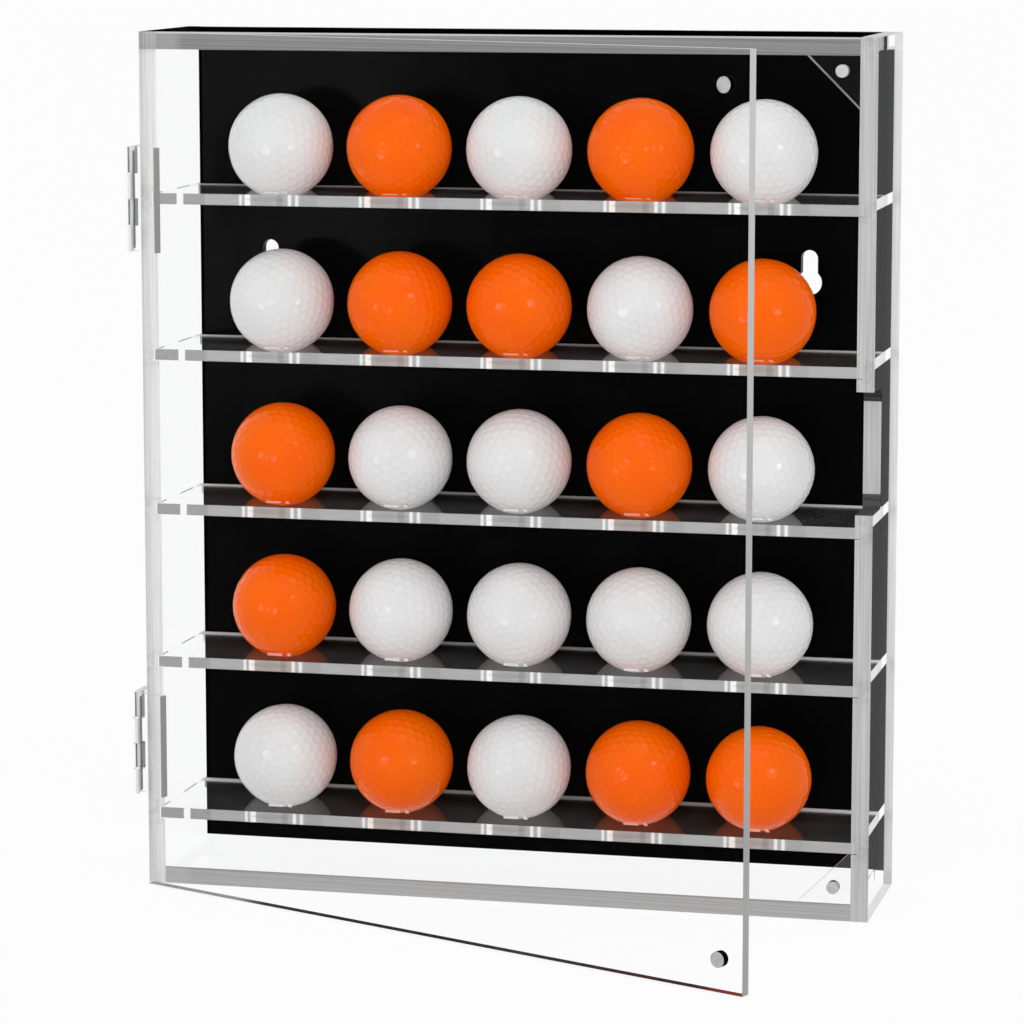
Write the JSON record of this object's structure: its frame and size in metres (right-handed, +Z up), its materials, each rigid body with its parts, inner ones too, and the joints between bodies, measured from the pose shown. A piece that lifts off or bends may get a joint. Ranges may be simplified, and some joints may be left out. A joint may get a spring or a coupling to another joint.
{
  "type": "golf ball display case",
  "caption": "Clear case with a black back, shelves with round seats holding golf balls, and a hinged clear door with magnet catches.",
  "frame": {"origin": "centre of the case's underside, without the door", "axes": "+X to the right seen from the front, +Y to the back, +Z up"},
  "size_m": [0.3022, 0.1905, 0.348],
  "materials": {
    "clear_sheet": "clear cast acrylic, polished faces",
    "clear_hinge": "clear moulded acrylic",
    "black_sheet": "gloss black acrylic",
    "magnet": "nickel plated",
    "ball_white": "gloss, dimpled",
    "ball_orange": "gloss, dimpled"
  },
  "bodies": {
    "case": {"left_side": "clear_sheet", "right_side": "clear_sheet", "top_panel": "clear_sheet", "bottom_panel": "clear_sheet", "back_panel": "black_sheet", "shelf_1": "clear_sheet", "shelf_2": "clear_sheet", "shelf_3": "clear_sheet", "shelf_4": "clear_sheet", "shelf_5": "clear_sheet", "lower_gusset": "clear_sheet", "upper_gusset": "clear_sheet", "lower_case_magnet": "magnet", "upper_case_magnet": "magnet", "lower_case_leaf": "clear_hinge", "upper_case_leaf": "clear_hinge", "lower_hinge_pin": "clear_hinge", "upper_hinge_pin": "clear_hinge"},
    "door": {"door": "clear_sheet", "lower_door_leaf": "clear_hinge", "upper_door_leaf": "clear_hinge", "lower_door_magnet": "magnet", "upper_door_magnet": "magnet"},
    "ball_1_1": {"ball_1_1": "ball_white"},
    "ball_1_2": {"ball_1_2": "ball_orange"},
    "ball_1_3": {"ball_1_3": "ball_white"},
    "ball_1_4": {"ball_1_4": "ball_orange"},
    "ball_1_5": {"ball_1_5": "ball_orange"},
    "ball_2_1": {"ball_2_1": "ball_orange"},
    "ball_2_2": {"ball_2_2": "ball_white"},
    "ball_2_3": {"ball_2_3": "ball_white"},
    "ball_2_4": {"ball_2_4": "ball_white"},
    "ball_2_5": {"ball_2_5": "ball_white"},
    "ball_3_1": {"ball_3_1": "ball_orange"},
    "ball_3_2": {"ball_3_2": "ball_white"},
    "ball_3_3": {"ball_3_3": "ball_white"},
    "ball_3_4": {"ball_3_4": "ball_orange"},
    "ball_3_5": {"ball_3_5": "ball_white"},
    "ball_4_1": {"ball_4_1": "ball_white"},
    "ball_4_2": {"ball_4_2": "ball_orange"},
    "ball_4_3": {"ball_4_3": "ball_orange"},
    "ball_4_4": {"ball_4_4": "ball_white"},
    "ball_4_5": {"ball_4_5": "ball_orange"},
    "ball_5_1": {"ball_5_1": "ball_white"},
    "ball_5_2": {"ball_5_2": "ball_orange"},
    "ball_5_3": {"ball_5_3": "ball_white"},
    "ball_5_4": {"ball_5_4": "ball_orange"},
    "ball_5_5": {"ball_5_5": "ball_white"}
  },
  "joints": [
    {"name": "door_hinge", "type": "hinge", "parent": "case", "child": "door", "pos_m": [-0.15077, -0.03904, 0.17401], "axis": [0, 0, -1], "range_deg": [-23.9, 156.1]},
    {"name": "ball_1_1_lift", "type": "slide", "parent": "case", "child": "ball_1_1", "axis": [0, 0, 1], "range_m": [0, 0.019]},
    {"name": "ball_1_2_lift", "type": "slide", "parent": "case", "child": "ball_1_2", "axis": [0, 0, 1], "range_m": [0, 0.019]},
    {"name": "ball_1_3_lift", "type": "slide", "parent": "case", "child": "ball_1_3", "axis": [0, 0, 1], "range_m": [0, 0.019]},
    {"name": "ball_1_4_lift", "type": "slide", "parent": "case", "child": "ball_1_4", "axis": [0, 0, 1], "range_m": [0, 0.019]},
    {"name": "ball_1_5_lift", "type": "slide", "parent": "case", "child": "ball_1_5", "axis": [0, 0, 1], "range_m": [0, 0.019]},
    {"name": "ball_2_1_lift", "type": "slide", "parent": "case", "child": "ball_2_1", "axis": [0, 0, 1], "range_m": [0, 0.019]},
    {"name": "ball_2_2_lift", "type": "slide", "parent": "case", "child": "ball_2_2", "axis": [0, 0, 1], "range_m": [0, 0.019]},
    {"name": "ball_2_3_lift", "type": "slide", "parent": "case", "child": "ball_2_3", "axis": [0, 0, 1], "range_m": [0, 0.019]},
    {"name": "ball_2_4_lift", "type": "slide", "parent": "case", "child": "ball_2_4", "axis": [0, 0, 1], "range_m": [0, 0.019]},
    {"name": "ball_2_5_lift", "type": "slide", "parent": "case", "child": "ball_2_5", "axis": [0, 0, 1], "range_m": [0, 0.019]},
    {"name": "ball_3_1_lift", "type": "slide", "parent": "case", "child": "ball_3_1", "axis": [0, 0, 1], "range_m": [0, 0.019]},
    {"name": "ball_3_2_lift", "type": "slide", "parent": "case", "child": "ball_3_2", "axis": [0, 0, 1], "range_m": [0, 0.019]},
    {"name": "ball_3_3_lift", "type": "slide", "parent": "case", "child": "ball_3_3", "axis": [0, 0, 1], "range_m": [0, 0.019]},
    {"name": "ball_3_4_lift", "type": "slide", "parent": "case", "child": "ball_3_4", "axis": [0, 0, 1], "range_m": [0, 0.019]},
    {"name": "ball_3_5_lift", "type": "slide", "parent": "case", "child": "ball_3_5", "axis": [0, 0, 1], "range_m": [0, 0.019]},
    {"name": "ball_4_1_lift", "type": "slide", "parent": "case", "child": "ball_4_1", "axis": [0, 0, 1], "range_m": [0, 0.019]},
    {"name": "ball_4_2_lift", "type": "slide", "parent": "case", "child": "ball_4_2", "axis": [0, 0, 1], "range_m": [0, 0.019]},
    {"name": "ball_4_3_lift", "type": "slide", "parent": "case", "child": "ball_4_3", "axis": [0, 0, 1], "range_m": [0, 0.019]},
    {"name": "ball_4_4_lift", "type": "slide", "parent": "case", "child": "ball_4_4", "axis": [0, 0, 1], "range_m": [0, 0.019]},
    {"name": "ball_4_5_lift", "type": "slide", "parent": "case", "child": "ball_4_5", "axis": [0, 0, 1], "range_m": [0, 0.019]},
    {"name": "ball_5_1_lift", "type": "slide", "parent": "case", "child": "ball_5_1", "axis": [0, 0, 1], "range_m": [0, 0.018]},
    {"name": "ball_5_2_lift", "type": "slide", "parent": "case", "child": "ball_5_2", "axis": [0, 0, 1], "range_m": [0, 0.018]},
    {"name": "ball_5_3_lift", "type": "slide", "parent": "case", "child": "ball_5_3", "axis": [0, 0, 1], "range_m": [0, 0.018]},
    {"name": "ball_5_4_lift", "type": "slide", "parent": "case", "child": "ball_5_4", "axis": [0, 0, 1], "range_m": [0, 0.018]},
    {"name": "ball_5_5_lift", "type": "slide", "parent": "case", "child": "ball_5_5", "axis": [0, 0, 1], "range_m": [0, 0.018]}
  ]
}
